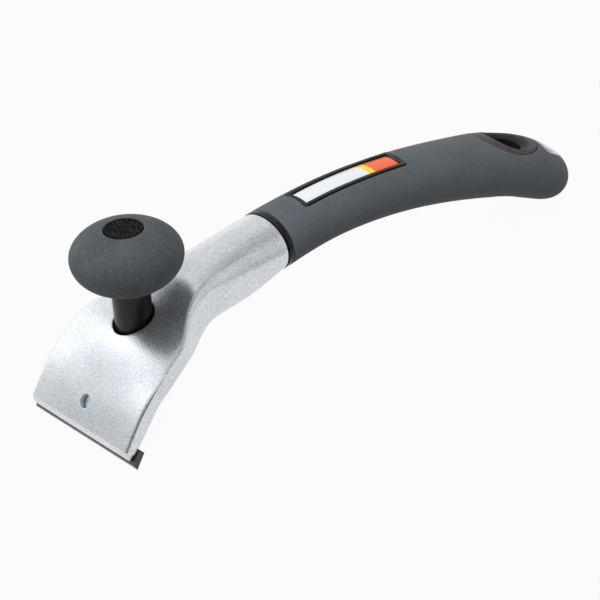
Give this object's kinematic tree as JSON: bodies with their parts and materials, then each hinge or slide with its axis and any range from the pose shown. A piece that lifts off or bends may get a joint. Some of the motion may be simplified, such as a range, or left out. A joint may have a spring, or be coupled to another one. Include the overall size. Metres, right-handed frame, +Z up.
{
  "type": "carbide scraper",
  "caption": "Pull-type paint scraper: a clamped carbide blade in a curved cast head, a screw-on palm knob, and a soft-grip handle with a hang hole and a hammer cap.",
  "frame": {"origin": "middle of the bounding box, on the table the tool lies on", "axes": "+X from the blade toward the butt, +Y along the blade, +Z up; the tool lies on its cutting edge and the heel of its butt"},
  "size_m": [0.2387, 0.0636, 0.0782],
  "materials": {
    "cast_aluminium": "fine bead-blasted casting, clear coated",
    "carbide": "ground, dark grey",
    "clamp_steel": "satin",
    "zinc_steel": "bright zinc plate",
    "black_plastic": "smooth moulded",
    "plug_plastic": "rough textured",
    "bezel_plastic": "satin moulded",
    "knob_rubber": "fine matt grain",
    "grip_rubber": "fine matt grain",
    "label_print": "printed, satin",
    "cap_steel": "satin"
  },
  "bodies": {
    "handle_and_head": {"scraper_head": "cast_aluminium", "front_collar": "black_plastic", "handle_core": "black_plastic", "handle_grip": "grip_rubber", "label_plate": "label_print", "hang_hole_bezel": "bezel_plastic", "hammer_cap": "cap_steel"},
    "blade": {"carbide_blade": "carbide"},
    "clamp": {"blade_clamp": "clamp_steel", "clamp_washer": "clamp_steel"},
    "screw": {"clamp_screw": "zinc_steel"},
    "knob_carrier": {"knob_washer": "zinc_steel"},
    "knob": {"knob_core": "black_plastic", "knob_grip": "knob_rubber", "knob_cap": "plug_plastic", "knob_stud": "zinc_steel"}
  },
  "joints": [
    {"name": "blade_slide", "type": "slide", "parent": "handle_and_head", "child": "blade", "axis": [0, 1, 0], "range_m": [-0.03, 0.03]},
    {"name": "clamp_drop", "type": "slide", "parent": "handle_and_head", "child": "clamp", "axis": [0.7986, 0, -0.6018], "range_m": [0, 0.0032]},
    {"name": "clamp_screw_turn", "type": "hinge", "parent": "clamp", "child": "screw", "pos_m": [-0.10841, 0, 0.01086], "axis": [0.7986, 0, -0.6018], "range_deg": [0, 1440]},
    {"name": "knob_lift", "type": "slide", "parent": "handle_and_head", "child": "knob_carrier", "axis": [0.0454, 0, 0.999], "range_m": [0, 0.0075]},
    {"name": "knob_turn", "type": "hinge", "parent": "knob_carrier", "child": "knob", "pos_m": [-0.0892, 0, 0], "axis": [0.0454, 0, 0.999], "range_deg": [0, 2160]}
  ],
  "couplings": [
    {"joint": "clamp_screw_turn", "follows": "clamp_drop", "rad_per_m": 7854},
    {"joint": "knob_lift", "follows": "knob_turn", "m_per_rad": 0.00019894}
  ]
}
